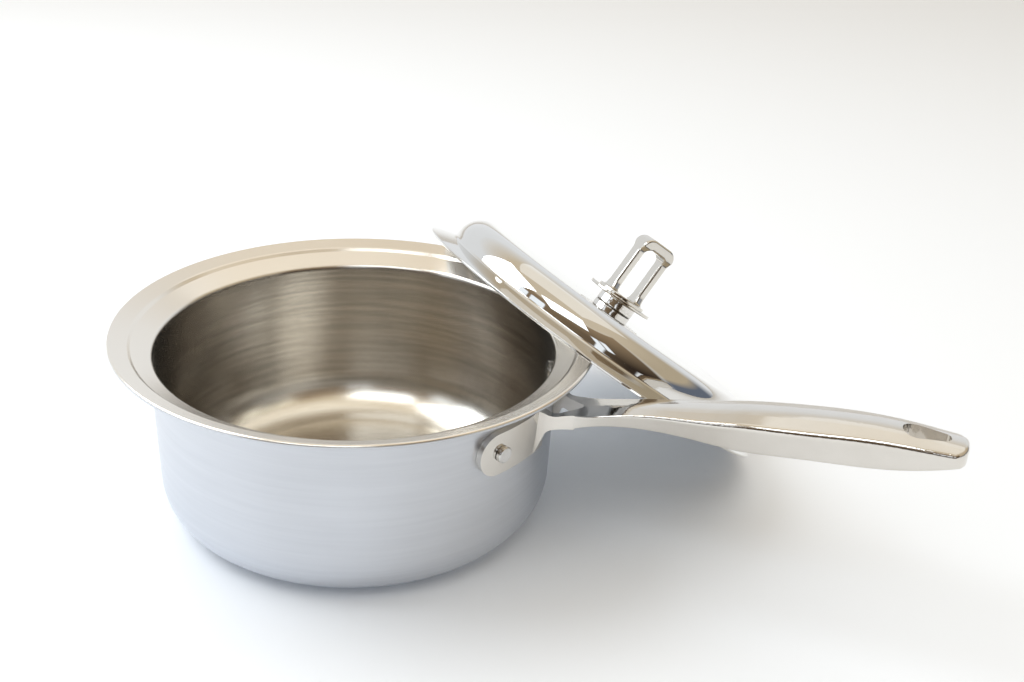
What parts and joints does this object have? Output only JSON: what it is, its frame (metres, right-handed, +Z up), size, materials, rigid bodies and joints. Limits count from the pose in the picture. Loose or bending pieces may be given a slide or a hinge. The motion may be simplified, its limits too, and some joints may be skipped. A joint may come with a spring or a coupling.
{
  "type": "stovetop popcorn popper",
  "caption": "Lidded steel saucepan used as a stovetop popcorn popper: flared pouring rim, riveted fork handle with hanging hole, domed lid with loop knob leaning on the rim.",
  "frame": {"origin": "centre of the pan's flat base, on the table", "axes": "+X along the long handle, away from the pan; +Z up; +Y to the side the lid leans on"},
  "size_m": [0.4236, 0.3294, 0.1362],
  "materials": {
    "pan_steel": "satin, brushed round the wall, concentric on the floor",
    "handle_steel": "polished casting",
    "rivet_steel": "satin",
    "lid_steel": "mirror polished",
    "knob_steel": "polished casting",
    "fastener_steel": "bright"
  },
  "bodies": {
    "pan": {"pan_body": "pan_steel", "long_handle": "handle_steel", "handle_rivets": "rivet_steel"},
    "lid": {"lid_shell": "lid_steel", "knob_pedestal": "knob_steel", "knob_loop": "knob_steel", "knob_screw": "fastener_steel", "knob_washer": "fastener_steel"}
  },
  "joints": [
    {"name": "lid_lift", "type": "slide", "parent": "pan", "child": "lid", "axis": [0, 0, 1], "range_m": [0, 0.15]}
  ]
}
